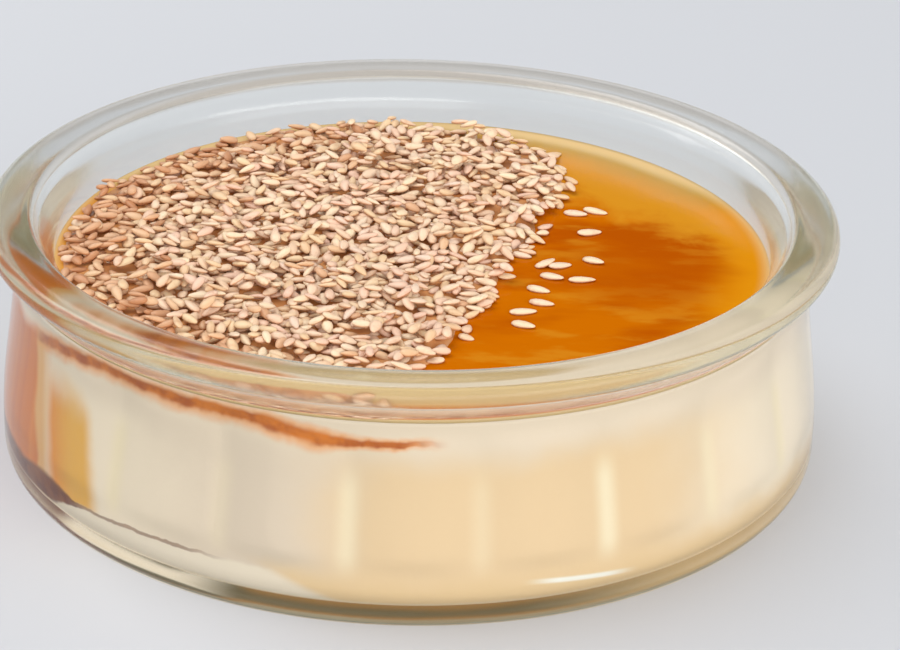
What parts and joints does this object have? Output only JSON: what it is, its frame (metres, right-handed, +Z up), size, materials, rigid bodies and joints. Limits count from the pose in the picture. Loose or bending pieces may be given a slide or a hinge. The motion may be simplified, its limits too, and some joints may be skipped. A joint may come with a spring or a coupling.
{
  "type": "creme brulee in a glass ramekin",
  "caption": "Round clear glass ramekin with a rolled rim, filled with set custard, topped by a glossy caramel pool and a bed of toasted sesame seeds over the left side.",
  "frame": {"origin": "centre of the ramekin's flat underside, where it stands on the table", "axes": "+Z up along the ramekin's axis; the sesame bed lies towards -X and the bare caramel towards +X, as seen from the front at -Y"},
  "size_m": [0.098, 0.098, 0.0294],
  "materials": {
    "glass": "clear pressed glass, polished, faint green-grey tint in the thick rim",
    "custard": "baked custard, pale cream, soft and slightly translucent",
    "caramel": "liquid caramel, clear amber, glossy and wet",
    "sesame": "toasted hulled sesame, pale tan, waxy sheen"
  },
  "bodies": {
    "root": {"glass_ramekin": "glass", "custard": "custard", "caramel": "caramel", "sesame_heap": "sesame"}
  },
  "joints": []
}
